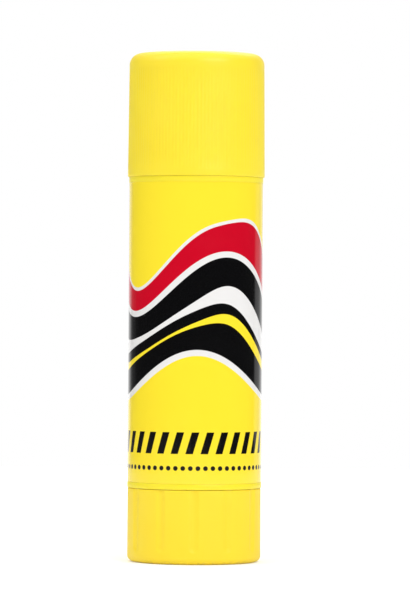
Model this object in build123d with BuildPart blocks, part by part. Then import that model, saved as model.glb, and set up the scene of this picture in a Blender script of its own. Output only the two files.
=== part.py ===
from build123d import *
import os
from math import cos, degrees, pi, radians, sin, sqrt

# A twist-up glue stick standing on its base knob, with its cap on.
# Millimetres, +Z up the stick, origin at the centre of the knob's foot.
# The front of the label faces -Y, and its overlapped seam faces +Y.

os.makedirs("parts", exist_ok=True)

# Heights stacked up the outside
knob_height = 16.1
seam_gap = 0.2
barrel_height = 67.8
cap_seat_gap = 0.1
cap_height = 27.1

# Running clearances
slide_clearance = 0.15
turn_clearance = 0.2
journal_clearance = 0.08
thread_radial_clearance = 0.14
thread_axial_clearance = 0.15
cap_clearance = 0.25
overrun = 1.0

# Screw thread, two starts, left handed, so that turning the knob clockwise from below lifts
thread_lead = 6.0
thread_starts = 2
thread_crest_radius = 3.5
thread_depth = 1.2
thread_crest_width = 0.6
thread_root_width = 1.4

# Barrel
barrel_radius = 14.75
barrel_wall = 2.3
label_seat_depth = 0.2
collar_height = 1.2
collar_fillet = 0.25
neck_wall = 1.15
neck_draft = 0.1
neck_rim_fillet = 0.35
neck_bead_rise = 2.8
neck_bead_width = 1.6
neck_bead_height = 0.12
floor_lift = 1.7
floor_thickness = 1.6
skirt_floor_gap = 1.8
skirt_wall = 1.2
snap_bead_rise = 3.2
snap_bead_width = 1.8
snap_bead_height = 0.28
keyway_count = 4
keyway_width = 1.8
keyway_depth = 0.4

# Knob
knob_inset = 0.1
knob_draft = 0.05
knob_wall = 1.35
knob_foot_fillet = 1.4
knob_top_fillet = 0.35
knob_floor_thickness = 1.5
foot_recess_depth = 0.7
foot_ring_width = 3.0
foot_recess_fillet = 0.25
hub_wall = 2.05
hub_top_gap = 0.2
web_count = 6
web_thickness = 1.0
web_height = 1.3
flute_count = 12
flute_depth = 0.3
flute_cut_radius = 9.0
flute_foot_height = 2.5

# Spindle
hex_across_flats = 4.4
hex_socket_clearance = 0.04
socket_floor_thickness = 6.2
journal_shoulder = 0.11
flange_overhang = 2.65
flange_thickness = 1.4
flange_gap = 0.1
flange_chamfer = 0.3
spindle_tip_gap = 0.5
spindle_tip_chamfer = 0.6

# Glue carrier, a cup with a threaded hub
carrier_start_gap = 0.4
nut_length = 8.0
nut_wall = 1.76
cup_height = 9.5
cup_wall = 1.0
cup_floor_thickness = 1.4
wiper_lip_height = 0.8
wiper_relief = 0.25
key_radial_clearance = 0.1
fin_count = 6
fin_thickness = 0.8
fin_height = 3.5

# Glue
glue_recess = 1.5
glue_side_gap = 0.2
glue_edge_fillet = 0.6
glue_cover_thickness = 2.6
glue_bore_clearance = 0.4
ridge_side_clearance = 0.2

# Cap
cap_wall = 1.15
cap_draft = 0.24
cap_shoulder_fillet = 1.9
cap_crown_rise = 0.3
cap_edge_fillet = 0.3
cap_top_wall = 1.6
cap_inner_draft = 0.15
cap_inner_fillet = 0.5
rib_count = 120
rib_groove_depth = 0.1
rib_groove_radius = 0.45
rib_band_height = 1.5
rib_top_margin = 1.5

# Seal disc in the top of the cap
seal_thickness = 2.2
seal_bead_radius = 0.5
seal_gap = 0.1
seal_edge_gap = 0.2

# Label film with its overlapped seam
label_thickness = 0.1
label_end_gap = 0.1
seam_overlap = 4.0

# Heights worked out from the sizes above
barrel_base_z = knob_height + seam_gap
shoulder_z = barrel_base_z + barrel_height
cap_base_z = shoulder_z + cap_seat_gap
cap_top_z = cap_base_z + cap_height
cap_side_top_z = cap_top_z - cap_crown_rise
ceiling_z = cap_top_z - cap_top_wall
seal_base_z = ceiling_z - seal_thickness
mouth_z = seal_base_z - seal_bead_radius - seal_gap
knob_floor_z = foot_recess_depth + knob_floor_thickness
floor_z = barrel_base_z + floor_lift
floor_top_z = floor_z + floor_thickness
skirt_base_z = knob_floor_z + skirt_floor_gap
snap_bead_z = skirt_base_z + snap_bead_rise
hub_top_z = floor_z - hub_top_gap
socket_base_z = knob_floor_z + socket_floor_thickness
flange_z = floor_top_z + flange_gap
thread_base_z = flange_z + flange_thickness
nut_z = thread_base_z + carrier_start_gap
nut_top_z = nut_z + nut_length
cup_floor_top_z = nut_z + cup_floor_thickness
cup_top_z = nut_z + cup_height
glue_top_z = mouth_z - glue_recess
glue_bore_top_z = glue_top_z - glue_cover_thickness
spindle_top_z = glue_bore_top_z - spindle_tip_gap
label_base_z = barrel_base_z + collar_height
label_top_z = shoulder_z - collar_height

# Radii worked out from the sizes above
seat_radius = barrel_radius - label_seat_depth
bore_radius = barrel_radius - barrel_wall
keyway_radius = bore_radius + keyway_depth
neck_radius = bore_radius + neck_wall
neck_top_radius = neck_radius - neck_draft
cap_mouth_radius = neck_radius + cap_clearance
cap_ceiling_radius = cap_mouth_radius - cap_inner_draft
cap_radius = cap_mouth_radius + cap_wall
cap_top_radius = cap_radius - cap_draft
knob_radius = barrel_radius - knob_inset
knob_base_radius = knob_radius - knob_draft
knob_bore_radius = knob_radius - knob_wall
foot_recess_radius = knob_base_radius - foot_ring_width
skirt_radius = knob_bore_radius - turn_clearance
skirt_inner_radius = skirt_radius - skirt_wall
journal_radius = hex_across_flats / 2 / cos(radians(30)) + journal_shoulder
journal_hole_radius = journal_radius + journal_clearance
flange_radius = journal_radius + flange_overhang
hub_radius = journal_radius + hub_wall
thread_core_radius = thread_crest_radius - thread_depth
nut_radius = thread_crest_radius + thread_radial_clearance + nut_wall
cup_radius = bore_radius - slide_clearance
cup_inner_radius = cup_radius - cup_wall
key_radius = keyway_radius - key_radial_clearance
glue_radius = bore_radius - glue_side_gap
glue_bore_radius = thread_crest_radius + glue_bore_clearance


def bead_arc(radius, middle_z, width, height):
    """A shallow round bead, or groove, standing out of a wall by height."""
    half = width / 2
    return ThreePointArc(
        (radius, middle_z - half), (radius + height, middle_z), (radius, middle_z + half)
    )


def point_at(radius, angle):
    """A point on a circle round the axis, at an angle in radians."""
    return (radius * cos(angle), radius * sin(angle))


def corner_at(section, radius, height):
    """The corner of a section that lies nearest a radius and a height."""
    return section.vertices().sort_by_distance((radius, height))[:1]


def thread_outline(core_radius, crest_radius, crest_width, root_width):
    """The thread's cross-section square to the axis, at the thread's foot."""
    half_crest = pi * crest_width / thread_lead
    half_root = pi * root_width / thread_lead
    step = 2 * pi / thread_starts
    with BuildSketch(Plane.XY.offset(thread_base_z)) as outline:
        with BuildLine():
            for start in range(thread_starts):
                middle = start * step
                next_root = middle + step - half_root
                CenterArc((0, 0), crest_radius, degrees(middle - half_crest), degrees(2 * half_crest))
                Line(point_at(crest_radius, middle + half_crest), point_at(core_radius, middle + half_root))
                CenterArc((0, 0), core_radius, degrees(middle + half_root), degrees(step - 2 * half_root))
                Line(point_at(core_radius, next_root), point_at(crest_radius, middle + step - half_crest))
        make_face()
    return outline.sketch


def thread_core(outline, length):
    """The cross-section swept up the axis while it turns once in each lead."""
    with BuildPart() as core:
        with BuildLine() as path:
            Line((0, 0, thread_base_z), (0, 0, thread_base_z + length))
        with BuildLine() as guide:
            Helix(
                pitch=thread_lead,
                height=length,
                radius=thread_crest_radius,
                center=(0, 0, thread_base_z),
                lefthand=True,
            )
        sweep(sections=outline, path=path.line, binormal=guide.line.edge())
    return core.part


# Barrel: body with a seat for the label, neck for the cap, floor for the spindle, skirt for the knob
with BuildPart() as barrel:
    neck_bead_z = shoulder_z + neck_bead_rise
    with BuildSketch(Plane.XZ) as barrel_section:
        with BuildLine():
            snap_bead = bead_arc(skirt_radius, snap_bead_z, snap_bead_width, snap_bead_height)
            neck_bead = bead_arc(neck_radius, neck_bead_z, neck_bead_width, neck_bead_height)
            Polyline((skirt_inner_radius, skirt_base_z), (skirt_radius, skirt_base_z), snap_bead @ 0)
            Polyline(
                snap_bead @ 1,
                (skirt_radius, barrel_base_z),
                (barrel_radius, barrel_base_z),
                (barrel_radius, label_base_z),
                (seat_radius, label_base_z),
                (seat_radius, label_top_z),
                (barrel_radius, label_top_z),
                (barrel_radius, shoulder_z),
                (neck_radius, shoulder_z),
                neck_bead @ 0,
            )
            Polyline(
                neck_bead @ 1,
                (neck_top_radius, mouth_z),
                (bore_radius, mouth_z),
                (bore_radius, floor_top_z),
                (journal_hole_radius, floor_top_z),
                (journal_hole_radius, floor_z),
                (skirt_inner_radius, floor_z),
                (skirt_inner_radius, skirt_base_z),
            )
        make_face()
        fillet(corner_at(barrel_section, neck_top_radius, mouth_z), neck_rim_fillet)
        fillet(corner_at(barrel_section, barrel_radius, shoulder_z), collar_fillet)
        fillet(corner_at(barrel_section, barrel_radius, barrel_base_z), collar_fillet)
    revolve(axis=Axis.Z)
    with BuildSketch(Plane.XY.offset(floor_top_z)):
        with PolarLocations(bore_radius, keyway_count, start_angle=180 / keyway_count):
            Rectangle(2 * keyway_depth, keyway_width)
    extrude(amount=mouth_z - floor_top_z + overrun, mode=Mode.SUBTRACT)
barrel.part.label = "barrel"
export_step(barrel.part, "parts/barrel.step")

# Knob: fluted cup on a foot ring, with a hub that holds the spindle's tail and webs on its floor
with BuildPart() as knob:
    with BuildSketch(Plane.XZ) as knob_section:
        with BuildLine():
            snap_groove = bead_arc(knob_bore_radius, snap_bead_z, snap_bead_width, snap_bead_height)
            Polyline(
                (0, foot_recess_depth),
                (foot_recess_radius, foot_recess_depth),
                (foot_recess_radius, 0),
                (knob_base_radius, 0),
                (knob_radius, knob_height),
                (knob_bore_radius, knob_height),
                snap_groove @ 1,
            )
            Polyline(
                snap_groove @ 0,
                (knob_bore_radius, knob_floor_z),
                (hub_radius, knob_floor_z),
                (hub_radius, hub_top_z),
                (0, hub_top_z),
                (0, foot_recess_depth),
            )
        make_face()
        fillet(corner_at(knob_section, knob_base_radius, 0), knob_foot_fillet)
        fillet(corner_at(knob_section, foot_recess_radius, 0), foot_recess_fillet)
        fillet(corner_at(knob_section, knob_radius, knob_height), knob_top_fillet)
    revolve(axis=Axis.Z)
    with BuildSketch(Plane.XY.offset(knob_floor_z)):
        web_length = knob_bore_radius - hub_radius
        with PolarLocations((knob_bore_radius + hub_radius) / 2, web_count):
            Rectangle(web_length + web_thickness / 2, web_thickness)
    extrude(amount=web_height)
    with BuildSketch(Plane.XY.offset(socket_base_z)):
        socket_half_width = hex_across_flats / 2 + hex_socket_clearance
        RegularPolygon(socket_half_width, 6, major_radius=False)
    extrude(amount=hub_top_z - socket_base_z + overrun, mode=Mode.SUBTRACT)
    flute_reach = sqrt(flute_cut_radius**2 - (flute_cut_radius - flute_depth) ** 2)
    flute_start_z = flute_foot_height + flute_reach
    with BuildPart(mode=Mode.PRIVATE) as flute_cutter:
        with BuildSketch(Plane.XY.offset(flute_start_z)):
            Circle(flute_cut_radius)
        extrude(amount=knob_height - flute_start_z + overrun)
        with Locations((0, 0, flute_start_z)):
            Sphere(flute_cut_radius)
    with PolarLocations(knob_radius - flute_depth + flute_cut_radius, flute_count):
        add(flute_cutter.part, mode=Mode.SUBTRACT)
knob.part.label = "knob"
export_step(knob.part, "parts/knob.step")

# Spindle: hexagon tail, journal, flange, and the long screw
with BuildPart() as spindle:
    with BuildSketch(Plane.XY.offset(socket_base_z)):
        RegularPolygon(hex_across_flats / 2, 6, major_radius=False)
    extrude(amount=hub_top_z - socket_base_z)
    with BuildSketch(Plane.XY.offset(hub_top_z)):
        Circle(journal_radius)
    extrude(amount=flange_z - hub_top_z)
    with BuildSketch(Plane.XY.offset(flange_z)):
        Circle(flange_radius)
    extrude(amount=flange_thickness)
    flange_rims = edges().filter_by(GeomType.CIRCLE).filter_by(lambda e: e.radius > journal_radius)
    chamfer(flange_rims, flange_chamfer)
    screw_outline = thread_outline(
        thread_core_radius, thread_crest_radius, thread_crest_width, thread_root_width
    )
    add(thread_core(screw_outline, spindle_top_z - thread_base_z))
    with BuildSketch(Plane.XZ) as tip_cut:
        with BuildLine():
            Polyline(
                (thread_crest_radius + overrun, spindle_top_z + overrun),
                (thread_crest_radius + overrun, spindle_top_z - spindle_tip_chamfer - overrun),
                (thread_crest_radius - spindle_tip_chamfer - overrun, spindle_top_z + overrun),
                close=True,
            )
        make_face()
    revolve(axis=Axis.Z, mode=Mode.SUBTRACT)
spindle.part.label = "spindle"
export_step(spindle.part, "parts/spindle.step")

# Glue carrier: cup, threaded hub, gripping fins, wiper lips and the keys that stop it turning
with BuildPart() as glue_carrier:
    relief_radius = cup_radius - wiper_relief
    with BuildSketch(Plane.XZ):
        with BuildLine():
            Polyline(
                (0, nut_z),
                (cup_radius, nut_z),
                (cup_radius, nut_z + wiper_lip_height),
                (relief_radius, nut_z + wiper_lip_height + wiper_relief),
                (relief_radius, cup_top_z - wiper_lip_height - wiper_relief),
                (cup_radius, cup_top_z - wiper_lip_height),
                (cup_radius, cup_top_z),
                (cup_inner_radius, cup_top_z),
                (cup_inner_radius, cup_floor_top_z),
                (nut_radius, cup_floor_top_z),
                (nut_radius, nut_top_z),
                (0, nut_top_z),
                close=True,
            )
        make_face()
    revolve(axis=Axis.Z)
    with BuildSketch(Plane.XY.offset(cup_floor_top_z)):
        with PolarLocations((cup_inner_radius + nut_radius) / 2, fin_count):
            Rectangle(cup_inner_radius - nut_radius + fin_thickness / 2, fin_thickness)
    extrude(amount=fin_height)
    with BuildSketch(Plane.XY.offset(nut_z)):
        key_width = keyway_width - 2 * slide_clearance
        key_root_radius = cup_radius - cup_wall / 2
        key_length = key_radius - key_root_radius
        with PolarLocations(key_root_radius + key_length / 2, keyway_count, start_angle=180 / keyway_count):
            Rectangle(key_length, key_width)
    extrude(amount=cup_height)
    nut_outline = thread_outline(
        thread_core_radius + thread_radial_clearance,
        thread_crest_radius + thread_radial_clearance,
        thread_crest_width + 2 * thread_axial_clearance,
        thread_root_width + 2 * thread_axial_clearance,
    )
    add(thread_core(nut_outline, nut_top_z - thread_base_z + overrun), mode=Mode.SUBTRACT)
glue_carrier.part.label = "glue_carrier"
export_step(glue_carrier.part, "parts/glue_carrier.step")

# Glue: cast in the barrel on the carrier, with ridges in the keyways and a bore round the screw
with BuildPart() as glue:
    with BuildSketch(Plane.XY.offset(cup_top_z)):
        Circle(glue_radius)
    extrude(amount=glue_top_z - cup_top_z)
    fillet(edges().group_by(Axis.Z)[-1], glue_edge_fillet)
    with BuildSketch(Plane.XY.offset(cup_top_z)):
        ridge_length = 2 * (key_radius - glue_radius)
        with PolarLocations(glue_radius, keyway_count, start_angle=180 / keyway_count):
            Rectangle(ridge_length, keyway_width - 2 * ridge_side_clearance)
    extrude(amount=glue_top_z - glue_edge_fillet - cup_top_z)
    with BuildSketch(Plane.XY.offset(cup_floor_top_z)):
        Circle(cup_inner_radius)
    extrude(amount=cup_top_z - cup_floor_top_z)
    with BuildSketch(Plane.XY.offset(cup_floor_top_z)):
        Circle(nut_radius)
    extrude(amount=nut_top_z - cup_floor_top_z, mode=Mode.SUBTRACT)
    with BuildSketch(Plane.XY.offset(cup_floor_top_z)):
        with PolarLocations((cup_inner_radius + nut_radius) / 2, fin_count):
            Rectangle(cup_inner_radius - nut_radius + fin_thickness / 2, fin_thickness)
    extrude(amount=fin_height, mode=Mode.SUBTRACT)
    with BuildSketch(Plane.XY.offset(nut_top_z)):
        Circle(glue_bore_radius)
    extrude(amount=glue_bore_top_z - nut_top_z, mode=Mode.SUBTRACT)
glue.part.label = "glue"
export_step(glue.part, "parts/glue.step")

# Label: film wrapped round the barrel's seat, with a double thickness where it overlaps at the back
with BuildPart() as label:
    film_base_z = label_base_z + label_end_gap
    film_height = label_top_z - label_base_z - 2 * label_end_gap
    film_radius = seat_radius + label_thickness
    seam_half_angle = degrees(seam_overlap / 2 / film_radius)
    with BuildSketch(Plane.XY.offset(film_base_z)):
        Circle(film_radius)
        Circle(seat_radius, mode=Mode.SUBTRACT)
    extrude(amount=film_height)
    with BuildSketch(Plane.XY.offset(film_base_z)):
        with BuildLine():
            outer = CenterArc(
                (0, 0), film_radius + label_thickness, 90 - seam_half_angle, 2 * seam_half_angle
            )
            inner = CenterArc(
                (0, 0), film_radius - label_thickness / 2, 90 - seam_half_angle, 2 * seam_half_angle
            )
            Line(outer @ 0, inner @ 0)
            Line(outer @ 1, inner @ 1)
        make_face()
    extrude(amount=film_height)
label.part.label = "label"
export_step(label.part, "parts/label.step")

# Cap: drafted cup with a rounded shoulder, a low crown, fine grip ribs and a plain band at its edge
with BuildPart() as cap:
    with BuildSketch(Plane.XZ) as cap_section:
        with BuildLine():
            crown_middle = cap_top_radius / 2
            crown = ThreePointArc(
                (0, cap_top_z),
                (crown_middle, cap_top_z - cap_crown_rise / 4),
                (cap_top_radius, cap_side_top_z),
            )
            Polyline(
                crown @ 1,
                (cap_radius, cap_base_z),
                (cap_mouth_radius, cap_base_z),
                (cap_ceiling_radius, ceiling_z),
                (0, ceiling_z),
                (0, cap_top_z),
            )
        make_face()
        fillet(corner_at(cap_section, cap_top_radius, cap_side_top_z), cap_shoulder_fillet)
        fillet(corner_at(cap_section, cap_radius, cap_base_z), cap_edge_fillet)
        fillet(corner_at(cap_section, cap_ceiling_radius, ceiling_z), cap_inner_fillet)
    revolve(axis=Axis.Z)
    rib_base_z = cap_base_z + rib_band_height
    rib_top_drop = cap_shoulder_fillet + rib_top_margin
    rib_top_z = cap_side_top_z - rib_top_drop
    slope = (cap_radius - cap_top_radius) / (cap_side_top_z - cap_base_z)
    groove_offset = rib_groove_radius - rib_groove_depth
    groove_foot = Vector(cap_radius - slope * rib_band_height + groove_offset, 0, rib_base_z)
    groove_head = Vector(cap_top_radius + slope * rib_top_drop + groove_offset, 0, rib_top_z)
    groove_line = groove_head - groove_foot
    with BuildPart(mode=Mode.PRIVATE) as rib_cutter:
        with BuildSketch(Plane(origin=groove_foot, z_dir=groove_line)):
            Circle(rib_groove_radius)
        extrude(amount=groove_line.length)
    with PolarLocations(0, rib_count):
        add(rib_cutter.part, mode=Mode.SUBTRACT)
cap.part.label = "cap"
export_step(cap.part, "parts/cap.step")

# Seal disc: soft liner held in the top of the cap, with a round bead that meets the barrel's mouth
with BuildPart() as cap_seal:
    seal_radius = cap_ceiling_radius - seal_edge_gap
    with BuildSketch(Plane.XY.offset(seal_base_z)):
        Circle(seal_radius)
    extrude(amount=ceiling_z - seal_base_z)
    chamfer(edges().group_by(Axis.Z)[-1], cap_inner_fillet)
    with BuildSketch(Plane.XZ):
        with Locations(((neck_top_radius + bore_radius) / 2, seal_base_z)):
            Circle(seal_bead_radius)
    revolve(axis=Axis.Z)
cap_seal.part.label = "cap_seal"
export_step(cap_seal.part, "parts/cap_seal.step")
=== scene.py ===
import logging
import math
from dataclasses import dataclass
from enum import Enum
from typing import Callable, Iterable, Sequence

import bmesh
import bpy
import numpy as np
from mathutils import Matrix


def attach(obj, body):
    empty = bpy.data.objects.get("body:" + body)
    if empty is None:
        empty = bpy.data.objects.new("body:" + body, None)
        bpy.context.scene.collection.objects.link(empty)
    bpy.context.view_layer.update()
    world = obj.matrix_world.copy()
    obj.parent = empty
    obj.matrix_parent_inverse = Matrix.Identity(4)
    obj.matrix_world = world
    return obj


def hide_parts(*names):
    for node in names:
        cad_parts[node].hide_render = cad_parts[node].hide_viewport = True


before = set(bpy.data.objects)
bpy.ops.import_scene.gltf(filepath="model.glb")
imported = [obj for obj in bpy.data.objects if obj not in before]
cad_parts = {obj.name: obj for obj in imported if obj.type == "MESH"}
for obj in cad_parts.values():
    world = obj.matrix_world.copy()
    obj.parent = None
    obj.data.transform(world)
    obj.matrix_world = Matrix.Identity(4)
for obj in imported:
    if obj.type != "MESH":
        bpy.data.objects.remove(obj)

# A twist-up glue stick with its cap on.
# Sizes in the classes are millimetres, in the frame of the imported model:
# +Z up the stick, -Y out of the label's front, and the film's overlapped seam at +Y.

MM = 0.001
LOG = logging.getLogger("glue_stick")
Piece = bpy.types.Object
Triple = tuple[float, float, float]
Colour = Triple
Row = tuple[float, ...]

# Two numbers: a span from one value to another, or a radius and a height
Span = tuple[float, float]

# What a node's input takes: a number, a colour, a vector, or a term to link
Value = object

# Noise crowds round a half, so this part of its range is spread over 0 to 1
CLOUD = (0.3, 0.7)

# How far a limit is kept off a ring of vertices, so that the ring falls clearly on one side
MARGIN = 0.01


class Body(str, Enum):
    """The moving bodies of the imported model."""

    BARREL = "barrel"
    KNOB = "knob"
    CARRIER = "carrier"
    CAP = "cap"


class Slot(str, Enum):
    """The material slots of the record."""

    YELLOW = "yellow_plastic"
    FILM = "label_film"
    WHITE = "white_plastic"
    GLUE = "glue_paste"
    LINER = "seal_liner"


def operator(name: str) -> Callable:
    """An operator of a term that adds one of the Math node's operations."""
    return lambda term, *others: term.maths(name, *others)


class Term:
    """The value of a socket. Plain arithmetic on it adds Math nodes to its graph."""

    def __init__(self, graph: "Graph", socket: bpy.types.NodeSocket) -> None:
        """Keeps the graph that new nodes go into, and the socket."""
        self.graph, self.socket = graph, socket

    def maths(self, operation: str, *others: Value) -> "Term":
        """One operation on this term and others."""
        return self.graph.add("ShaderNodeMath", dict(enumerate((self, *others))), operation=operation)

    __add__ = operator("ADD")
    __sub__ = operator("SUBTRACT")
    __mul__ = operator("MULTIPLY")
    __truediv__ = operator("DIVIDE")
    __abs__ = operator("ABSOLUTE")


class Graph:
    """Adds nodes to a tree, each with its inputs given as values or as terms to link."""

    def __init__(self, tree: bpy.types.NodeTree) -> None:
        """Keeps the node tree of a material, a world or a group."""
        self.tree = tree

    def node(self, kind: str, inputs: dict | None = None, **settings: Value) -> bpy.types.Node:
        """Adds one node.

        Args:
            kind: The node's type, as Blender names it.
            inputs: Its inputs by name or number, each a value or a term.
            settings: Properties of the node itself.

        Returns:
            The new node.
        """
        node = self.tree.nodes.new(kind)
        for key, value in settings.items():
            setattr(node, key, value)
        for key, value in (inputs or {}).items():
            if isinstance(value, Term):
                self.tree.links.new(value.socket, node.inputs[key])
            else:
                node.inputs[key].default_value = value
        return node

    def add(self, kind: str, inputs: dict | None = None, output: Value = 0, **settings: Value) -> Term:
        """Adds one node, and gives back one of its outputs by name or number."""
        return Term(self, self.node(kind, inputs, **settings).outputs[output])

    def outputs(self, kind: str, inputs: dict | None = None, **settings: Value) -> dict[str, Term]:
        """Adds one node, and gives back all its outputs by name."""
        node = self.node(kind, inputs, **settings)
        return {socket.name: Term(self, socket) for socket in node.outputs}

    def effect(self, tree: bpy.types.NodeTree, **inputs: Value) -> dict[str, Term]:
        """The outputs of a shared effect, with its inputs given by name."""
        return self.outputs("ShaderNodeGroup", inputs, node_tree=tree)

    def axes(self, vector: Term) -> list[Term]:
        """A vector's parts along X, Y and Z."""
        return list(self.outputs("ShaderNodeSeparateXYZ", {0: vector}).values())

    def remap(self, value: Term, span: Span, low: float = 0.0, high: float = 1.0) -> Term:
        """Carries a value smoothly from a span to the range from low to high, and holds it there."""
        inputs = {"Value": value, "From Min": span[0], "From Max": span[1], "To Min": low, "To Max": high}
        return self.add("ShaderNodeMapRange", inputs, interpolation_type="SMOOTHSTEP")

    def blend(self, share: Term, first: Value, second: Value) -> Term:
        """Mixes two colours, the first where the share is 0 and the second where it is 1."""
        colours = {0: share, 6: opaque(first), 7: opaque(second)}
        return self.add("ShaderNodeMix", colours, 2, data_type="RGBA")

    def noise(self, place: Term, scale: Value, detail: float = 2.0) -> Term:
        """A cloud of noise from 0 to 1 round a place, at a scale in turns per metre."""
        return self.add("ShaderNodeTexNoise", {"Vector": place, "Scale": scale, "Detail": detail})

    def place(self) -> Term:
        """The piece's own place, from Object coordinates."""
        return self.add("ShaderNodeTexCoord", output="Object")

    def stretch(self, place: Term, scale: Sequence[float]) -> Term:
        """A place scaled differently along each axis."""
        return self.add("ShaderNodeMapping", {"Vector": place, "Scale": scale})

    def bump(self, relief: Term, depth: float) -> Term:
        """The surface's normal under a relief that is some millimetres deep."""
        return self.add("ShaderNodeBump", {"Height": relief, "Distance": depth * MM, "Strength": 1.0})


def opaque(colour: Value) -> Value:
    """A plain colour with its alpha added, or a term as it is."""
    return colour if isinstance(colour, Term) else (*colour, 1.0)


def darker(colour: Colour, share: float) -> Colour:
    """A colour at a share of its brightness."""
    return tuple(share * part for part in colour)


def group(
    name: str, inputs: dict[str, float | None], outputs: Iterable[str], fill: Callable
) -> bpy.types.NodeTree:
    """Builds a shared effect once.

    Args:
        name: The group's name.
        inputs: Each input's starting value, or None for a vector.
        outputs: The names of the values that the group puts out.
        fill: Draws the inside, from the graph and the input terms to a dict of output terms.

    Returns:
        The group's node tree.
    """
    found = bpy.data.node_groups.get(name)
    if found:
        return found
    tree = bpy.data.node_groups.new(name, "ShaderNodeTree")
    for key, value in inputs.items():
        kind = "NodeSocketVector" if value is None else "NodeSocketFloat"
        socket = tree.interface.new_socket(key, in_out="INPUT", socket_type=kind)
        if value is not None:
            socket.default_value = value
    for key in outputs:
        tree.interface.new_socket(key, in_out="OUTPUT", socket_type="NodeSocketFloat")
    graph = Graph(tree)
    graph.node("NodeGroupOutput", fill(graph, graph.outputs("NodeGroupInput")))
    return tree


@dataclass(frozen=True)
class MouldedGrain:
    """The fine eroded skin of a mould, and the slow drift of colour in the plastic."""

    coarse: float = 0.31
    coarse_share: float = 0.6
    broad: float = 0.02

    def tree(self) -> bpy.types.NodeTree:
        """A group with the inputs Place and Scale and the outputs Height and Drift."""
        return group("moulded_grain", {"Place": None, "Scale": 3000.0}, ("Height", "Drift"), self.fill)

    def fill(self, graph: Graph, given: dict[str, Term]) -> dict[str, Term]:
        """Mixes two sizes of grain, and one broad cloud."""
        place, scale = given["Place"], given["Scale"]
        fine = graph.noise(place, scale, 3.0) * (1 - self.coarse_share)
        coarse = graph.noise(place, scale * self.coarse) * self.coarse_share
        drift = graph.remap(graph.noise(place, scale * self.broad), CLOUD)
        return {"Height": coarse + fine, "Drift": drift}


@dataclass(frozen=True)
class Handling:
    """What hands, desks and pencil cases leave: dull rubbed patches and a few hair scratches."""

    patch_scale: float = 70.0
    patch_span: Span = (0.42, 0.72)
    streaks: tuple[Triple, ...] = ((900.0, 700.0, 60.0), (260.0, 120.0, 1500.0))
    streak_half: float = 0.012
    rare_scale: float = 160.0
    rare_span: Span = (0.56, 0.68)

    def tree(self) -> bpy.types.NodeTree:
        """A group with the input Place and the outputs Rubbed and Scratch."""
        return group("handling", {"Place": None}, ("Rubbed", "Scratch"), self.fill)

    def fill(self, graph: Graph, given: dict[str, Term]) -> dict[str, Term]:
        """Clouds for the patches, and two crossed bands of thin lines for the scratches."""
        place = given["Place"]
        rubbed = graph.remap(graph.noise(place, self.patch_scale, 4.0), self.patch_span)
        lines = []
        for streak in self.streaks:
            thin = abs(graph.noise(graph.stretch(place, streak), 1.0, 1.0) - 0.5)
            lines.append(graph.remap(thin, (0.0, self.streak_half), 1.0, 0.0))
        rare = graph.remap(graph.noise(place, self.rare_scale, 1.0), self.rare_span)
        return {"Rubbed": rubbed, "Scratch": lines[0].maths("MAXIMUM", lines[1]) * rare}


class Finish:
    """A material made of nodes, built once under its own name."""

    name: str

    def material(self) -> bpy.types.Material:
        """Builds the finish, or hands back the one built before."""
        found = bpy.data.materials.get(self.name)
        if found:
            return found
        made = bpy.data.materials.new(self.name)
        made.use_nodes = True
        made.node_tree.nodes.clear()
        graph = Graph(made.node_tree)
        graph.node("ShaderNodeOutputMaterial", {"Surface": self.shader(graph, graph.place())})
        return made

    def shader(self, graph: Graph, place: Term) -> Term:
        """Draws the nodes round the piece's own place, and gives back the last shader."""
        raise NotImplementedError

    def dress(self, piece: Piece) -> None:
        """Puts the finish on every face of a piece."""
        piece.data.materials.clear()
        piece.data.materials.append(self.material())


@dataclass(frozen=True)
class MouldedPlastic(Finish):
    """Injection moulded plastic with a satin skin, light handling marks and a scuffed foot."""

    name: str
    colour: Colour
    deep_colour: Colour
    roughness: float = 0.36
    grain_scale: float = 2600.0
    grain_depth: float = 0.006
    rubbed_dulling: float = 0.10
    scratch_dulling: float = 0.10
    scratch_depth: float = 0.5
    ior: float = 1.49
    glint: float = 0.42
    inner_light: float = 0.4
    inner_colour: Colour = (1.0, 0.95, 0.3)
    inner_reach: float = 0.7
    scuffed_below: float = -1.0
    scuff_rise: float = 0.9
    scuff_share: float = 0.45
    scuff_scale: float = 900.0
    scuff_span: Span = (0.45, 0.65)
    scuff_dulling: float = 0.35
    scuff_colour: Colour = (0.62, 0.50, 0.12)

    def scuff(self, graph: Graph, place: Term) -> Term:
        """How scuffed a place is: patchy at the foot, and nothing higher up."""
        patchy = graph.remap(graph.noise(place, self.scuff_scale, 4.0), self.scuff_span)
        limit = self.scuffed_below * MM
        span = (limit, limit + self.scuff_rise * MM)
        return graph.remap(graph.axes(place)[2], span, self.scuff_share, 0.0) * patchy

    def shader(self, graph: Graph, place: Term) -> Term:
        """Principled plastic, its colour drifting with the flow and its gloss with handling."""
        grain = graph.effect(MouldedGrain().tree(), Place=place, Scale=self.grain_scale)
        marks = graph.effect(Handling().tree(), Place=place)
        scuff = self.scuff(graph, place)
        colour = graph.blend(grain["Drift"], self.colour, self.deep_colour)
        rough = marks["Rubbed"] * self.rubbed_dulling + self.roughness
        rough = rough + marks["Scratch"] * self.scratch_dulling
        inputs = {
            "Base Color": graph.blend(scuff, colour, self.scuff_colour),
            "Roughness": rough + scuff * self.scuff_dulling,
            "Normal": graph.bump(grain["Height"] - marks["Scratch"] * self.scratch_depth, self.grain_depth),
            "IOR": self.ior,
            "Specular IOR Level": self.glint,
            "Subsurface Weight": self.inner_light,
            "Subsurface Radius": self.inner_colour,
            "Subsurface Scale": self.inner_reach * MM,
        }
        return graph.add("ShaderNodeBsdfPrincipled", inputs)


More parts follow.
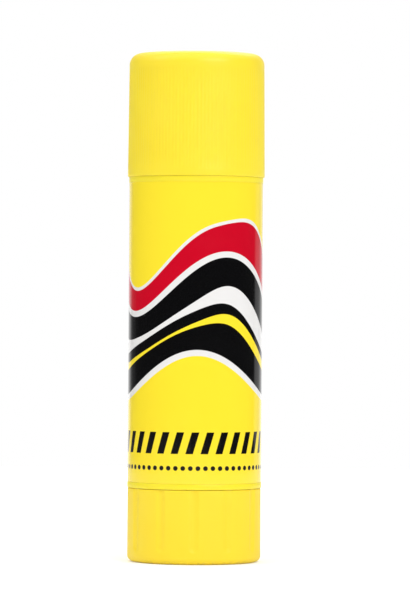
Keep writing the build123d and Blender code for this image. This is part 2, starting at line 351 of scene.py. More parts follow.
@dataclass(frozen=True)
class WavePrint(Finish):
    """Glossy printed film: a yellow ground, a black wave with white edges, a red ribbon, bars and dots."""

    name: str = "printed_film_gloss"
    ground: Colour = (0.98, 0.775, 0.032)
    white: Colour = (0.82, 0.81, 0.80)
    black: Colour = (0.0022, 0.0022, 0.0026)
    red: Colour = (0.59, 0.0013, 0.017)
    roughness: float = 0.07
    radius: float = 14.65
    turns: int = 2
    wave_top: float = 60.0
    wave_foot: float = 41.5
    top_swing: float = 6.5
    foot_swing: float = 5.0
    top_phase: float = 0.6
    foot_phase: float = 1.5
    edge_white: float = 1.3
    stripe_shares: Span = (0.60, 0.36)
    stripe_halves: Span = (0.075, 0.040)
    stripe_swell: float = 0.45
    ribbon_width: float = 5.2
    ribbon_swing: float = 1.6
    ribbon_phase: float = -0.5
    ribbon_edge: float = 0.7
    bar_count: int = 28
    bar_share: float = 0.5
    bar_foot: float = 24.0
    bar_head: float = 28.7
    bar_slant: float = 0.09
    dot_count: int = 56
    dot_height: float = 20.9
    dot_radius: float = 0.52
    softness: float = 0.05
    overlap: float = 4.0
    clear_strip: float = 1.4
    clear_paleness: float = 0.10
    rubbed_dulling: float = 0.04
    scratch_dulling: float = 0.12
    ripple_scale: float = 140.0
    ripple_stretch: Triple = (1.0, 1.0, 0.35)
    ripple_depth: float = 0.04
    peel_scale: float = 1500.0
    peel_share: float = 0.02
    ior: float = 1.5

    def inside(self, distance: Term) -> Term:
        """1 where a distance in millimetres is below zero, with a thin soft edge of ink."""
        return distance.graph.remap(distance, (-self.softness, self.softness), 1.0, 0.0)

    def wave(self, angle: Term, height: Term, middle: float, swing: float, phase: float) -> Term:
        """How far a point lies above a wave that runs round the barrel.

        Args:
            angle: The angle round the barrel, from the front, in radians.
            height: The point's height in millimetres.
            middle: The wave's middle height.
            swing: How far it rises and falls.
            phase: Where round the barrel it starts, in radians.

        Returns:
            The distance square to the wave, in millimetres.
        """
        turn = angle * self.turns + phase
        line = turn.maths("SINE") * swing + middle
        slope = turn.maths("COSINE") * (swing * self.turns / self.radius)
        return (height - line) / (slope * slope + 1.0).maths("SQRT")

    def shader(self, graph: Graph, place: Term) -> Term:
        """Lays the inks on the ground colour, one over another, under one glossy skin."""
        x, y, z = graph.axes(place)
        angle = x.maths("ARCTAN2", y * -1.0)
        height = z * (1.0 / MM)
        top = self.wave(angle, height, self.wave_top, self.top_swing, self.top_phase)
        foot = self.wave(angle, height, self.wave_foot, self.foot_swing, self.foot_phase)
        under = foot * -1.0
        band = top.maths("MAXIMUM", under)
        swing = (angle * self.turns + self.ribbon_phase).maths("SINE")
        over_ribbon = top - (swing * self.ribbon_swing + (self.ribbon_width + self.edge_white))
        ribbon = over_ribbon.maths("MAXIMUM", top * -1.0 + self.edge_white)
        edged = (over_ribbon - self.ribbon_edge).maths("MAXIMUM", under)
        edged = edged.maths("MINIMUM", band - self.edge_white)
        rows = self.bars(angle, height).maths("MINIMUM", self.dots(angle, height))
        colour = graph.blend(self.inside(edged), self.ground, self.white)
        colour = graph.blend(self.inside(ribbon), colour, self.red)
        colour = graph.blend(self.inside(band.maths("MINIMUM", rows)), colour, self.black)
        share = foot / (foot - top)
        swell = swing * self.stripe_swell + 1.0
        depth = self.wave_top - self.wave_foot
        for middle, half, ink in zip(self.stripe_shares, self.stripe_halves, (self.white, self.ground)):
            off = abs(share - middle) - swell * half
            colour = graph.blend(self.inside((off * depth).maths("MAXIMUM", band)), colour, ink)
        past_step = angle * -self.radius + (self.radius * math.pi - self.overlap / 2)
        strip = abs(past_step + self.clear_strip / 2) - self.clear_strip / 2
        colour = graph.blend(self.inside(strip) * self.clear_paleness, colour, self.white)
        return self.skin(graph, place, colour)

    def bars(self, angle: Term, height: Term) -> Term:
        """A row of slanted bars: below zero inside a bar, in millimetres."""
        turn = angle * (self.bar_count / (2 * math.pi)) - height * self.bar_slant
        pitch = 2 * math.pi * self.radius / self.bar_count
        across = (abs(turn.maths("FRACT") - 0.5) - self.bar_share / 2) * pitch
        middle = (self.bar_head + self.bar_foot) / 2
        along = abs(height - middle) - (self.bar_head - self.bar_foot) / 2
        return across.maths("MAXIMUM", along)

    def dots(self, angle: Term, height: Term) -> Term:
        """A row of round dots: below zero inside a dot, in millimetres."""
        cell = (angle * (self.dot_count / (2 * math.pi))).maths("FRACT")
        across = (cell - 0.5) * (2 * math.pi * self.radius / self.dot_count)
        along = height - self.dot_height
        return (along * along + across * across).maths("SQRT") - self.dot_radius

    def skin(self, graph: Graph, place: Term, colour: Term) -> Term:
        """The film's surface over its print: very glossy, faintly uneven, and lightly handled."""
        marks = graph.effect(Handling().tree(), Place=place)
        rough = marks["Rubbed"] * self.rubbed_dulling + self.roughness
        rough = rough + marks["Scratch"] * self.scratch_dulling
        loose = graph.noise(graph.stretch(place, self.ripple_stretch), self.ripple_scale, 1.0)
        peel = graph.noise(place, self.peel_scale, 1.0) * self.peel_share
        normal = graph.bump(peel + loose, self.ripple_depth)
        inputs = {"Base Color": colour, "Roughness": rough, "Normal": normal, "IOR": self.ior}
        return graph.add("ShaderNodeBsdfPrincipled", inputs)


@dataclass(frozen=True)
class GluePaste(Finish):
    """The waxy white of the glue, a little clear at its edges."""

    name: str = "waxy_glue"
    colour: Colour = (0.87, 0.86, 0.80)
    shade: Colour = (0.84, 0.83, 0.76)
    swirl_scale: float = 180.0
    swirl_twist: float = 1.2
    swirl_span: Span = (0.35, 0.7)
    fine_scale: float = 2200.0
    fine_share: float = 0.15
    relief_depth: float = 0.03
    dullness: Span = (0.38, 0.5)
    ior: float = 1.44
    inner_light: float = 0.35
    inner_colour: Colour = (1.0, 0.95, 0.8)
    inner_reach: float = 1.5

    def shader(self, graph: Graph, place: Term) -> Term:
        """A soft translucent solid with faint casting swirls."""
        inputs = {"Vector": place, "Scale": self.swirl_scale, "Detail": 2.0, "Distortion": self.swirl_twist}
        swirl = graph.add("ShaderNodeTexNoise", inputs)
        relief = graph.noise(place, self.fine_scale) * self.fine_share + swirl
        inputs = {
            "Base Color": graph.blend(graph.remap(swirl, self.swirl_span), self.colour, self.shade),
            "Roughness": graph.remap(swirl, CLOUD, *self.dullness),
            "Normal": graph.bump(relief, self.relief_depth),
            "IOR": self.ior,
            "Subsurface Weight": self.inner_light,
            "Subsurface Radius": self.inner_colour,
            "Subsurface Scale": self.inner_reach * MM,
        }
        return graph.add("ShaderNodeBsdfPrincipled", inputs)


@dataclass(frozen=True)
class FoamLiner(Finish):
    """The soft foamed liner inside the cap."""

    name: str = "foam_liner"
    colour: Colour = (0.84, 0.84, 0.82)
    drift_scale: float = 300.0
    drift_shade: float = 0.93
    dullness: Span = (0.62, 0.85)
    cell_scale: float = 2600.0
    cell_edge: float = 0.8
    cell_depth: float = 0.04

    def shader(self, graph: Graph, place: Term) -> Term:
        """A dull skin pitted with fine closed cells."""
        cells = graph.add("ShaderNodeTexVoronoi", {"Vector": place, "Scale": self.cell_scale}, "Distance")
        drift = graph.remap(graph.noise(place, self.drift_scale), CLOUD)
        inputs = {
            "Base Color": graph.blend(drift, self.colour, darker(self.colour, self.drift_shade)),
            "Roughness": graph.remap(cells, (0.0, self.cell_edge), *self.dullness),
            "Normal": graph.bump(cells, self.cell_depth),
        }
        return graph.add("ShaderNodeBsdfPrincipled", inputs)


@dataclass(frozen=True)
class PaleFloor(Finish):
    """The studio's pale floor, lifted to white only for the camera, so that it keeps its shadow."""

    name: str = "pale_floor"
    colour: Colour = (0.88, 0.88, 0.88)
    fibre_scale: float = 400.0
    fibre_shade: float = 0.985
    lift: float = 0.22
    far_lift: float = 1.0
    fade: Span = (0.12, 0.40)

    def shader(self, graph: Graph, place: Term) -> Term:
        """Plain matt paper, with a little light of its own in what the camera sees."""
        fibres = graph.remap(graph.noise(place, self.fibre_scale, 3.0), CLOUD)
        colour = graph.blend(fibres, self.colour, darker(self.colour, self.fibre_shade))
        matt = graph.add("ShaderNodeBsdfDiffuse", {"Color": colour})
        seen = graph.outputs("ShaderNodeLightPath")["Is Camera Ray"]
        away = graph.add("ShaderNodeVectorMath", {0: place}, "Value", operation="LENGTH")
        lift = graph.remap(away, self.fade, self.lift, self.far_lift)
        glow = graph.add("ShaderNodeEmission", {"Strength": seen * lift})
        return graph.add("ShaderNodeAddShader", {0: matt, 1: glow})


CAP_PLASTIC = MouldedPlastic("yellow_cap_plastic", (0.98, 0.770, 0.034), (0.97, 0.745, 0.029))
# The barrel's plastic matches the film's ground, and is painted a little lighter still: a painted lift that
# offsets the shade the cap's overhang throws on the collars
BARREL_PLASTIC_PAINTED_LIGHTER = MouldedPlastic(
    "yellow_barrel_plastic", (0.98, 0.800, 0.030), (0.97, 0.785, 0.026), roughness=0.30
)
KNOB_PLASTIC = MouldedPlastic(
    "yellow_knob_plastic",
    (0.98, 0.740, 0.028),
    (0.97, 0.715, 0.023),
    roughness=0.42,
    inner_light=0.1,
    scuffed_below=0.15,
)
WHITE_PLASTIC = MouldedPlastic("white_inner_plastic", (0.85, 0.85, 0.82), (0.82, 0.82, 0.79), roughness=0.5)

# The barrel's keyways: how many, and the first one's angle in degrees
KEYWAYS = 4
FIRST_KEYWAY = 45.0


@dataclass(frozen=True)
class Bead:
    """A shallow round rise away from the axis: a bead on the outside, or a groove in a bore.

    Its width is below zero where the wall is drawn downwards.
    """

    middle: float
    width: float
    height: float


class Shell:
    """A round shell that is turned ring by ring in edit mode, like clay on a wheel.

    The reaches are how close vertices must be to count as one ring, one level or one vertex.
    """

    ring_reach: float = 0.004
    level_reach: float = 0.001
    weld_reach: float = 0.001
    least_cut: float = 0.0005

    def __init__(self, name: str, segments: int, radius: float, height: float, filled: bool = True) -> None:
        """Adds the first ring.

        Args:
            name: The piece's name.
            segments: How many columns go round the axis.
            radius: The first ring's radius.
            height: The first ring's height.
            filled: Whether the first ring is closed by a fan of faces.
        """
        bpy.ops.object.select_all(action="DESELECT")
        bpy.ops.mesh.primitive_circle_add(
            vertices=segments,
            radius=radius * MM,
            fill_type="TRIFAN" if filled else "NOTHING",
            location=(0.0, 0.0, height * MM),
        )
        self.piece = bpy.context.object
        self.piece.name = self.piece.data.name = name
        bpy.ops.object.transform_apply(location=True, rotation=False, scale=False)
        bpy.ops.object.mode_set(mode="EDIT")
        bpy.ops.mesh.select_mode(type="VERT")
        self.segments = segments
        self.radius, self.height = radius, height
        self.first = (radius, height)
        self.pick(self.places()[1] > radius / 2)

    def places(self) -> tuple[np.ndarray, np.ndarray, np.ndarray]:
        """The angle in degrees, radius and height of each vertex, in millimetres."""
        mesh = bmesh.from_edit_mesh(self.piece.data)
        spots = np.array([vertex.co for vertex in mesh.verts]) / MM
        angles = np.degrees(np.arctan2(spots[:, 1], spots[:, 0]))
        return angles, np.hypot(spots[:, 0], spots[:, 1]), spots[:, 2]

    def pick(self, wanted: np.ndarray) -> None:
        """Selects the vertices where wanted is true, and no others."""
        mesh = bmesh.from_edit_mesh(self.piece.data)
        bpy.ops.mesh.select_all(action="DESELECT")
        mesh.verts.ensure_lookup_table()
        for index in np.flatnonzero(wanted):
            mesh.verts[index].select = True
        mesh.select_flush_mode()
        bmesh.update_edit_mesh(self.piece.data, loop_triangles=False, destructive=False)

    def pick_ring(self, radius: float, height: float) -> None:
        """Selects the ring that was drawn at a radius and a height."""
        _, radii, heights = self.places()
        self.pick((abs(radii - radius) < self.ring_reach) & (abs(heights - height) < self.ring_reach))

    def scale(self, factor: float) -> None:
        """Draws what is selected towards the axis, or away from it."""
        bpy.ops.transform.resize(value=(factor, factor, 1.0), center_override=(0.0, 0.0, 0.0))

    def ring(self, radius: float, height: float) -> None:
        """Extrudes the last ring to a new radius and height."""
        step = (0.0, 0.0, (height - self.height) * MM)
        bpy.ops.mesh.extrude_region_move(TRANSFORM_OT_translate={"value": step})
        if radius != self.radius:
            self.scale(radius / self.radius)
        self.radius, self.height = radius, height

    def rings(self, spots: Iterable[Span]) -> None:
        """Extrudes through several rings, each a radius and a height."""
        for radius, height in spots:
            self.ring(radius, height)

    def bead(self, radius: float, bead: Bead, steps: int = 6) -> None:
        """Draws the wall along a bead or a groove."""
        for step in range(steps + 1):
            share = 2 * step / steps - 1
            self.ring(radius + bead.height * (1 - share * share), bead.middle + share * bead.width / 2)

    def pole(self, height: float) -> None:
        """Closes the last ring with a fan to a point on the axis."""
        self.ring(self.radius, height)
        bpy.ops.mesh.merge(type="CENTER")

    def join_ends(self) -> None:
        """Runs the last ring into the first, which closes the shell on itself."""
        self.ring(*self.first)

    def round_off(self, radius: float, height: float, offset: float, segments: int = 4) -> None:
        """Bevels the sharp ring at a radius and a height, from an offset each side of it."""
        self.pick_ring(radius, height)
        bpy.ops.mesh.bevel(offset=offset * MM, segments=segments, profile=0.5, affect="EDGES")

    def off_middle(self, repeats: int, first: float = 0.0) -> np.ndarray:
        """Each vertex's degrees from the nearest of several even cuts, the first one at an angle."""
        pitch = 360 / repeats
        return abs((self.places()[0] - first + pitch / 2) % pitch - pitch / 2)

    def carve(
        self, floor: Callable[[float, float], float], repeats: int, reach: int, wall: np.ndarray
    ) -> None:
        """Draws columns in to a depth that depends on their angle and height.

        Args:
            floor: The radius of the cut's floor, from the angle off its middle and the height.
            repeats: How often the cut comes round.
            reach: How many columns each side of the middle it takes in.
            wall: Which vertices belong to the wall that is cut.
        """
        _, radii, heights = self.places()
        off, step = self.off_middle(repeats), 360 / self.segments
        for level in np.unique(np.round(heights[wall], 3)):
            on_level = wall & (abs(heights - level) < self.level_reach)
            for column in range(reach + 1):
                chosen = on_level & (abs(off - column * step) < step / 4)
                if not chosen.any():
                    continue
                here = float(radii[chosen].mean())
                target = floor(column * step, float(level))
                if target < here - self.least_cut:
                    self.pick(chosen)
                    self.scale(target / here)

    def swell(self, chosen: np.ndarray, radius: float) -> None:
        """Moves the chosen vertices of one wall out to a new radius."""
        radii = self.places()[1]
        self.pick(chosen)
        self.scale(radius / float(radii[chosen].mean()))

    def finish(self, smooth: float = 40.0) -> Piece:
        """Merges, turns the faces outwards and shades the shell.

        Args:
            smooth: The sharpest corner in degrees that is still shaded smooth.

        Returns:
            The finished piece, in object mode.
        """
        bpy.ops.mesh.select_all(action="SELECT")
        bpy.ops.mesh.remove_doubles(threshold=self.weld_reach * MM)
        bpy.ops.mesh.normals_make_consistent(inside=False)
        bpy.ops.object.mode_set(mode="OBJECT")
        bpy.ops.object.shade_smooth_by_angle(angle=math.radians(smooth))
        return self.piece


def enlist(piece: Piece, body: Body, node: str, finish: Finish) -> None:
    """Makes a piece ride on its body in a CAD node's place, with its finish.

    Args:
        piece: The finished mesh.
        body: The body that it moves with.
        node: The CAD node that it stands for.
        finish: The finish that it wears.
    """
    finish.dress(piece)
    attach(piece, body.value)
    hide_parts(node)
    LOG.info("%s: %d vertices, on body %s", piece.name, len(piece.data.vertices), body.value)


class Assembly:
    """A sub-assembly with one mesh of its own, which stands for one CAD node."""

    body: Body
    slot: Slot
    node: str
    finish: Finish
    segments: int = 360

    def build(self) -> Piece:
        """Turns the mesh and gives back the finished piece."""
        raise NotImplementedError

    def add(self) -> None:
        """Builds the piece and gives it its finish and its place."""
        enlist(self.build(), self.body, self.node, self.finish)


@dataclass
class Cap(Assembly):
    """The pull-off cap: a low crown, a rounded shoulder, fine grip ribs and a plain band at its edge."""

    body = Body.CAP
    slot = Slot.YELLOW
    node = "cap"
    finish = CAP_PLASTIC

    segments: int = 720
    crown: float = 111.3
    crown_radii: Row = (1.4, 3.0, 5.0, 7.0, 9.0, 11.0, 12.2)
    side_head: float = 111.12
    foot: float = 84.12
    head_radius: float = 14.76
    foot_radius: float = 15.0
    ceiling: float = 109.7
    ceiling_radius: float = 13.70
    mouth_radius: float = 13.85
    shoulder_round: float = 2.38
    edge_round: float = 0.25
    mouth_round: float = 0.15
    corner_round: float = 0.5
    rib_count: int = 120
    rib_reach: int = 2
    rib_depth: float = 0.06
    rib_cut: float = 0.80
    rib_foot: float = 85.7
    rib_head: float = 107.6
    rib_runout: float = 0.25
    rib_levels: int = 9
    gate_radius: float = 0.25
    gate_foot_radius: float = 0.375
    gate_depth: float = 0.08
    dimple_radius: float = 1.1
    dimple_depth: float = 0.12
    smooth_below: float = 50.0

    def crown_at(self, radius: float) -> float:
        """The crown's height at a radius."""
        return self.crown - (self.crown - self.side_head) * (radius / self.head_radius) ** 2

    def side_at(self, height: float) -> float:
        """The side's radius at a height."""
        share = (height - self.foot) / (self.side_head - self.foot)
        return self.foot_radius + (self.head_radius - self.foot_radius) * share

    def rib_floor(self, angle: float, height: float) -> float:
        """The radius of the floor of a groove between ribs, at an angle from its middle."""
        across = math.radians(angle) * self.side_at(height)
        depth = math.sqrt(self.rib_cut**2 - across**2) - self.rib_cut + self.rib_depth
        return self.side_at(height) - depth

    def build(self) -> Piece:
        """Turns the shell from the crown outwards, down the side, and up inside."""
        shell = Shell("ribbed_cap", self.segments, self.gate_radius, self.crown - self.gate_depth)
        dimple = self.crown - self.dimple_depth
        shell.rings([(self.gate_foot_radius, dimple), (self.dimple_radius, dimple)])
        shell.rings((radius, self.crown_at(radius)) for radius in (*self.crown_radii, self.head_radius))
        grip = np.linspace(self.rib_head - self.rib_runout, self.rib_foot + self.rib_runout, self.rib_levels)
        side = (self.rib_head, *grip, self.rib_foot, self.foot)
        shell.rings((self.side_at(height), float(height)) for height in side)
        shell.rings([(self.mouth_radius, self.foot), (self.ceiling_radius, self.ceiling)])
        shell.pole(self.ceiling)
        shell.round_off(self.head_radius, self.side_head, self.shoulder_round, 8)
        shell.round_off(self.foot_radius, self.foot, self.edge_round, 4)
        shell.round_off(self.mouth_radius, self.foot, self.mouth_round, 3)
        shell.round_off(self.ceiling_radius, self.ceiling, self.corner_round, 4)
        _, radii, heights = shell.places()
        wall = radii > (self.head_radius + self.mouth_radius) / 2
        wall &= (heights > self.rib_foot + MARGIN) & (heights < self.rib_head - MARGIN)
        shell.carve(self.rib_floor, self.rib_count, self.rib_reach, wall)
        return shell.finish(self.smooth_below)


@dataclass
class SealDisc(Assembly):
    """The soft disc in the top of the cap, with a round bead that meets the barrel's mouth."""

    body = Body.CAP
    slot = Slot.LINER
    node = "cap_seal"
    finish = FoamLiner()

    segments: int = 180
    radius: float = 13.5
    foot: float = 107.5
    head: float = 109.7
    face_radii: Span = (3.0, 8.0)
    head_chamfer: float = 0.5
    edge_lift: float = 0.03
    bead_middle: float = 12.975
    bead_radius: float = 0.5
    bead_steps: int = 8

    def build(self) -> Piece:
        """Turns the disc from the middle of its lower face out and up."""
        shell = Shell("seal_disc", self.segments, self.face_radii[0], self.foot)
        shell.ring(self.face_radii[1], self.foot)
        for step in range(self.bead_steps + 1):
            turn = math.pi * step / self.bead_steps
            radius = self.bead_middle - self.bead_radius * math.cos(turn)
            shell.ring(radius, self.foot - self.bead_radius * math.sin(turn))
        shell.ring(self.radius, self.foot + self.edge_lift)
        shell.ring(self.radius, self.head - self.head_chamfer)
        shell.ring(self.radius - self.head_chamfer, self.head)
        shell.pole(self.head)
        return shell.finish()


@dataclass
class Barrel(Assembly):
    """The barrel: two collars round the label's seat, a neck, a keyed bore, a floor and a skirt."""

    body = Body.BARREL
    slot = Slot.YELLOW
    node = "barrel"
    # Its plastic is painted lighter than the cap's, against the shade under the cap's edge
    finish = BARREL_PLASTIC_PAINTED_LIGHTER

    radius: float = 14.70
    seat_radius: float = 14.55
    foot: float = 16.24
    seat_foot: float = 17.5
    seat_head: float = 82.9
    seat_heights: Row = (34.0, 50.0, 66.0)
    shoulder: float = 84.1
    mouth: float = 106.9
    neck_radius: float = 13.6
    neck_head_radius: float = 13.5
    neck_bead: Bead = Bead(86.9, 1.6, 0.12)
    neck_rings: tuple[Span, ...] = ((13.56, 93.5), (13.53, 100.0))
    bore_radius: float = 12.45
    bore_heights: Row = (90.0, 70.0, 50.0, 34.0)
    keyway_radius: float = 12.85
    keyway_half_angle: float = 4.5
    floor_head: float = 19.6
    floor_foot: float = 18.0
    journal_radius: float = 2.73
    skirt_radius: float = 13.1
    skirt_inner_radius: float = 11.9
    skirt_foot: float = 4.0
    snap_bead: Bead = Bead(7.2, 1.8, 0.28)
    collar_round: float = 0.05
    seat_round: float = 0.04
    rim_round: float = 0.35
    bore_round: float = 0.08

    def build(self) -> Piece:
        """Turns the wall from the skirt's foot up the outside and down the bore."""
        shell = Shell("barrel_body", self.segments, self.skirt_inner_radius, self.skirt_foot, filled=False)
        shell.ring(self.skirt_radius, self.skirt_foot)
        shell.bead(self.skirt_radius, self.snap_bead)
        shell.rings([(self.skirt_radius, self.foot), (self.radius, self.foot), (self.radius, self.seat_foot)])
        seat = (self.seat_foot, *self.seat_heights, self.seat_head)
        shell.rings((self.seat_radius, height) for height in seat)
        shell.rings([(self.radius, self.seat_head), (self.radius, self.shoulder)])
        shell.ring(self.neck_radius, self.shoulder)
        shell.bead(self.neck_radius, self.neck_bead)
        shell.rings([*self.neck_rings, (self.neck_head_radius, self.mouth)])
        bore = (self.mouth, *self.bore_heights, self.floor_head)
        shell.rings((self.bore_radius, height) for height in bore)
        shell.rings([(self.journal_radius, self.floor_head), (self.journal_radius, self.floor_foot)])
        shell.ring(self.skirt_inner_radius, self.floor_foot)
        shell.join_ends()
        for height in (self.foot, self.shoulder):
            shell.round_off(self.radius, height, self.collar_round)
        for height in (self.seat_foot, self.seat_head):
            shell.round_off(self.radius, height, self.seat_round, 2)
        shell.round_off(self.neck_head_radius, self.mouth, self.rim_round)
        shell.round_off(self.bore_radius, self.mouth, self.bore_round, 2)
        radii = shell.places()[1]
        wall = (radii > self.bore_radius - MARGIN) & (radii < self.bore_radius + 2 * self.bore_round)
        in_keyway = shell.off_middle(KEYWAYS, FIRST_KEYWAY) < self.keyway_half_angle
        shell.swell(in_keyway & wall, self.keyway_radius)
        return shell.finish()


@dataclass
class LabelFilm(Assembly):
    """The printed film round the barrel, with its free end lapped over its start at the back."""

    body = Body.BARREL
    slot = Slot.FILM
    node = "label"
    finish = WavePrint()

    segments: int = 720
    foot: float = 17.52
    head: float = 82.88
    radius: float = 14.65
    inner_radius: float = 14.56
    lap_radius: float = 14.75
    lap_width: float = 4.0
    lap_angle: float = 90.0
    ramp: Row = (0.85, 0.5, 0.15)
    levels: int = 14
    smooth_below: float = 30.0

    def build(self) -> Piece:
        """Turns the film's tube, then lifts the lapped columns."""
        shell = Shell("printed_film", self.segments, self.radius, self.foot, filled=False)
        heights = np.linspace(self.foot, self.head, self.levels)[1:]
        shell.rings((self.radius, float(height)) for height in heights)
        shell.rings([(self.inner_radius, self.head), (self.inner_radius, self.foot)])
        shell.join_ends()
        angles, radii, _ = shell.places()
        outer = radii > (self.radius + self.inner_radius) / 2
        half = math.degrees(self.lap_width / 2 / self.radius)
        step = 360 / self.segments
        past = angles - self.lap_angle
        shell.swell(outer & (abs(past) < half), self.lap_radius)
        for number, share in enumerate(self.ramp):
            column = outer & (abs(past - half - (number + 0.5) * step) <= step / 2)
            shell.swell(column, self.radius + share * (self.lap_radius - self.radius))
        return shell.finish(self.smooth_below)


@dataclass
class Knob(Assembly):
    """The turning knob: twelve long flutes, a rounded foot on a ring, and a hub for the spindle."""

    body = Body.KNOB
    slot = Slot.YELLOW
    node = "knob"
    finish = KNOB_PLASTIC

    foot_radius: float = 14.6
    radius: float = 14.65
    head: float = 16.15
    bore_radius: float = 13.3
    floor_head: float = 2.2
    gate_radius: float = 0.45
    gate_foot_radius: float = 0.6
    gate_height: float = 0.12
    recess_radii: Row = (2.0, 7.0, 11.6)
    recess_depth: float = 0.7
    hub_radius: float = 4.7
    hub_head: float = 17.8
    socket_radius: float = 2.6
    socket_foot: float = 8.4
    snap_groove: Bead = Bead(7.2, -1.8, 0.28)
    foot_round: float = 1.38
    rim_round: float = 0.2
    recess_round: float = 0.25
    head_round: float = 0.25
    mouth_round: float = 0.12
    side_heights: Row = (1.9, 2.4, 2.7, 3.0, 3.4, 3.8, 4.3, 4.8, 6.5, 9.0, 11.5, 14.0, 15.5)
    flute_count: int = 12
    flute_reach: int = 7
    flute_depth: float = 0.32
    flute_cut: float = 2.2
    flute_start: float = 3.64

    def side_at(self, height: float) -> float:
        """The side's radius at a height."""
        return self.foot_radius + (self.radius - self.foot_radius) * height / self.head

    def flute_floor(self, angle: float, height: float) -> float:
        """The radius of a flute's floor, at an angle from its middle."""
        centre = self.radius - self.flute_depth + self.flute_cut
        below = max(0.0, self.flute_start - height)
        square = self.flute_cut**2 - below**2 - (centre * math.sin(math.radians(angle))) ** 2
        return math.inf if square <= 0 else centre * math.cos(math.radians(angle)) - math.sqrt(square)

    def build(self) -> Piece:
        """Turns the cup from under its foot, up the side and down inside to the hub."""
        recess_radius = self.recess_radii[-1]
        shell = Shell("fluted_knob", self.segments, self.gate_radius, self.recess_depth - self.gate_height)
        shell.rings((radius, self.recess_depth) for radius in (self.gate_foot_radius, *self.recess_radii))
        shell.rings([(recess_radius, 0.0), (self.foot_radius, 0.0)])
        shell.rings((self.side_at(height), height) for height in self.side_heights)
        shell.rings([(self.radius, self.head), (self.bore_radius, self.head)])
        shell.bead(self.bore_radius, self.snap_groove)
        shell.rings([(self.bore_radius, self.floor_head), (self.hub_radius, self.floor_head)])
        shell.rings([(self.hub_radius, self.hub_head), (self.socket_radius, self.hub_head)])
        shell.ring(self.socket_radius, self.socket_foot)
        shell.pole(self.socket_foot)
        shell.round_off(self.foot_radius, 0.0, self.foot_round, 8)
        shell.round_off(recess_radius, 0.0, self.rim_round, 3)
        shell.round_off(recess_radius, self.recess_depth, self.recess_round, 3)
        shell.round_off(self.radius, self.head, self.head_round, 4)
        shell.round_off(self.bore_radius, self.head, self.mouth_round, 2)
        _, radii, heights = shell.places()
        wall = (radii > (self.radius + self.bore_radius) / 2) & (heights > self.foot_round + MARGIN)
        shell.carve(self.flute_floor, self.flute_count, self.flute_reach, wall)
        return shell.finish()


@dataclass
class Glue(Assembly):
    """The stick of glue, cast on its carrier, with ridges that run in the barrel's keyways."""

    body = Body.CARRIER
    slot = Slot.GLUE
    node = "glue"
    finish = GluePaste()

    radius: float = 12.25
    head: float = 105.4
    dish: float = 0.15
    dish_middle: float = 1.0
    dish_radii: Row = (3.0, 5.5, 8.0, 10.0, 11.2)
    edge_round: float = 0.55
    side_heights: Row = (104.7, 90.0, 70.0, 50.0)
    cup_head: float = 31.0
    cup_radius: float = 11.3
    cup_floor: float = 22.9
    nut_radius: float = 5.4
    nut_head: float = 29.5
    bore_radius: float = 3.9
    bore_head: float = 102.8
    ridge_radius: float = 12.75
    ridge_half_angle: float = 3.5
    ridge_head: float = 104.8

    def build(self) -> Piece:
        """Turns the stick from the middle of its dished top out, down and up its bore."""
        shell = Shell("glue_stick", self.segments, self.dish_middle, self.head - self.dish)
        for radius in self.dish_radii:
            shell.ring(radius, self.head - self.dish * (1 - (radius / self.dish_radii[-1]) ** 2))
        shell.rings([(self.radius, self.head), (self.radius, self.ridge_head)])
        shell.rings((self.radius, height) for height in (*self.side_heights, self.cup_head))
        shell.rings([(self.cup_radius, self.cup_head), (self.cup_radius, self.cup_floor)])
        shell.rings([(self.nut_radius, self.cup_floor), (self.nut_radius, self.nut_head)])
        shell.rings([(self.bore_radius, self.nut_head), (self.bore_radius, self.bore_head)])
        shell.pole(self.bore_head)
        shell.round_off(self.radius, self.head, self.edge_round, 5)
        _, radii, heights = shell.places()
        side = (radii > self.radius - MARGIN) & (heights < self.ridge_head - MARGIN)
        in_ridge = shell.off_middle(KEYWAYS, FIRST_KEYWAY) < self.ridge_half_angle
        shell.swell(side & in_ridge, self.ridge_radius)
        return shell.finish()


class InnerWorks:
    """The screw and the carrier, which keep their CAD shapes and get their plastic."""

    nodes: Sequence[str] = ("spindle", "glue_carrier")

    def dress(self) -> None:
        """Puts white plastic on both nodes."""
        for name in self.nodes:
            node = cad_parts[name]
            WHITE_PLASTIC.dress(node)
            LOG.info("%s: the CAD node, in white plastic", name)


@dataclass(frozen=True)
class SoftBox:
    """A soft lamp that looks at the middle of the stick.

    Its angles are degrees to the right of the camera and above the horizon, and its lengths are metres.
    """

    name: str
    azimuth: float
    lift: float
    size: Span
    watts: float
    away: float = 1.3
    aim: float = 0.056

    def hang(self) -> None:
        """Adds the lamp, out of the camera's sight."""
        turn, rise = math.radians(self.azimuth), math.radians(self.lift)
        back = (math.sin(turn) * math.cos(rise), -math.cos(turn) * math.cos(rise), math.sin(rise))
        place = [self.away * part for part in back]
        place[2] += self.aim
        bpy.ops.object.light_add(type="AREA", location=place)
        lamp = bpy.context.object
        lamp.name = lamp.data.name = self.name
        lamp.data.shape = "RECTANGLE"
        lamp.data.size, lamp.data.size_y = self.size
        lamp.data.energy = self.watts
        lamp.rotation_euler = (math.pi / 2 - rise, 0.0, turn)
        lamp.visible_camera = False


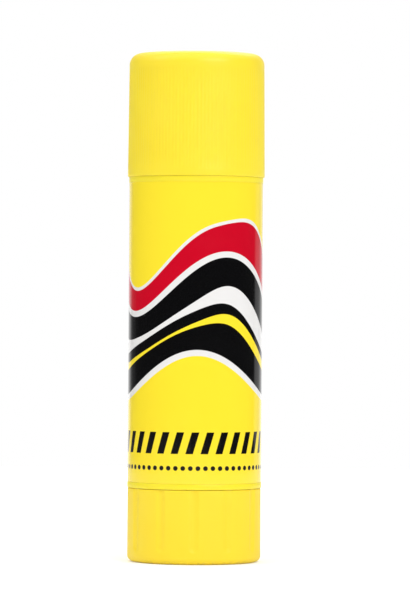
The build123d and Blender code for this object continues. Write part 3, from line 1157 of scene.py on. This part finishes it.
@dataclass
class Studio:
    """A white room: a pale floor, soft lamps from above, and the camera.

    Each span is the part of an axis of view directions over which one brightness passes into the next.
    """

    camera_place: Triple = (0.0021, -0.877, 0.0562)
    camera_roll: float = -0.0070
    lens: float = 236.0
    sensor: float = 36.0
    floor_radius: float = 0.5
    floor_corners: int = 96
    fill: float = 0.67
    front_reflection: float = 0.05
    side_reflection: float = 0.62
    rear_reflection: float = 1.25
    top_reflection: float = 1.2
    left_share: float = 0.15
    above_horizon_share: float = 0.5
    side_span: Span = (0.52, 0.62)
    rear_span: Span = (0.78, 0.95)
    left_span: Span = (-0.75, -0.40)
    horizon_span: Span = (-0.06, 0.08)
    top_span: Span = (0.35, 0.75)
    lamps: tuple[SoftBox, ...] = (
        SoftBox("key_box", 32.0, 27.0, (0.8, 0.5), 6.0),
        SoftBox("right_top_box", 30.0, 66.0, (0.8, 0.4), 1.3),
        SoftBox("left_top_box", -52.0, 66.0, (0.35, 0.4), 1.1),
        SoftBox("left_box", -72.0, 38.0, (0.5, 0.5), 2.9),
        SoftBox("rear_top_box", 170.0, 50.0, (0.9, 0.7), 4.0),
    )

    def mirrored(self, graph: Graph) -> Term:
        """What a glossy surface mirrors: dim in front, brighter at the sides, behind and above."""
        x, y, z = graph.axes(graph.add("ShaderNodeTexCoord", output="Generated"))
        sides = graph.remap(y, self.side_span, 0.0, self.side_reflection - self.front_reflection)
        rear = graph.remap(y, self.rear_span, 0.0, self.rear_reflection - self.side_reflection)
        left = graph.remap(x, self.left_span, self.left_share, 1.0)
        low = graph.remap(z, self.horizon_span, 1.0, self.above_horizon_share)
        above = graph.remap(z, self.top_span, self.front_reflection, self.top_reflection)
        return (sides * left + rear) * low + above

    def world(self) -> None:
        """White to the camera, its own picture to reflections, and an even fill to the rest."""
        scene = bpy.context.scene
        scene.world = bpy.data.worlds.new("white_room")
        scene.world.use_nodes = True
        scene.world.node_tree.nodes.clear()
        graph = Graph(scene.world.node_tree)
        path = graph.outputs("ShaderNodeLightPath")
        level = path["Is Glossy Ray"] * (self.mirrored(graph) - self.fill) + self.fill
        white = opaque((1.0, 1.0, 1.0))
        lit = graph.add("ShaderNodeBackground", {"Color": white, "Strength": level})
        seen = graph.add("ShaderNodeBackground", {"Color": white, "Strength": 1.0})
        direct = path["Is Camera Ray"].maths("MAXIMUM", path["Is Transmission Ray"])
        mixed = graph.add("ShaderNodeMixShader", {0: direct, 1: lit, 2: seen})
        graph.node("ShaderNodeOutputWorld", {"Surface": mixed})

    def build(self) -> None:
        """Lays the floor, hangs the lamps, paints the room and sets the camera."""
        bpy.ops.object.select_all(action="DESELECT")
        bpy.ops.mesh.primitive_circle_add(
            vertices=self.floor_corners, radius=self.floor_radius, fill_type="NGON"
        )
        floor = bpy.context.object
        floor.name = "pale_floor"
        PaleFloor().dress(floor)
        for lamp in self.lamps:
            lamp.hang()
        self.world()
        bpy.ops.object.camera_add(location=self.camera_place)
        camera = bpy.context.object
        camera.rotation_euler = (math.pi / 2, self.camera_roll, 0.0)
        camera.data.lens = self.lens
        camera.data.sensor_width = self.sensor
        bpy.context.scene.camera = camera
        bpy.context.scene.view_settings.view_transform = "Standard"


def main() -> None:
    """Builds each sub-assembly in turn, then the studio."""
    logging.basicConfig(level=logging.INFO, format="%(name)s: %(message)s")
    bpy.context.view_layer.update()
    for assembly in (Barrel(), LabelFilm(), Knob(), Glue(), Cap(), SealDisc()):
        assembly.add()
    InnerWorks().dress()
    Studio().build()


if __name__ == "__main__":
    main()
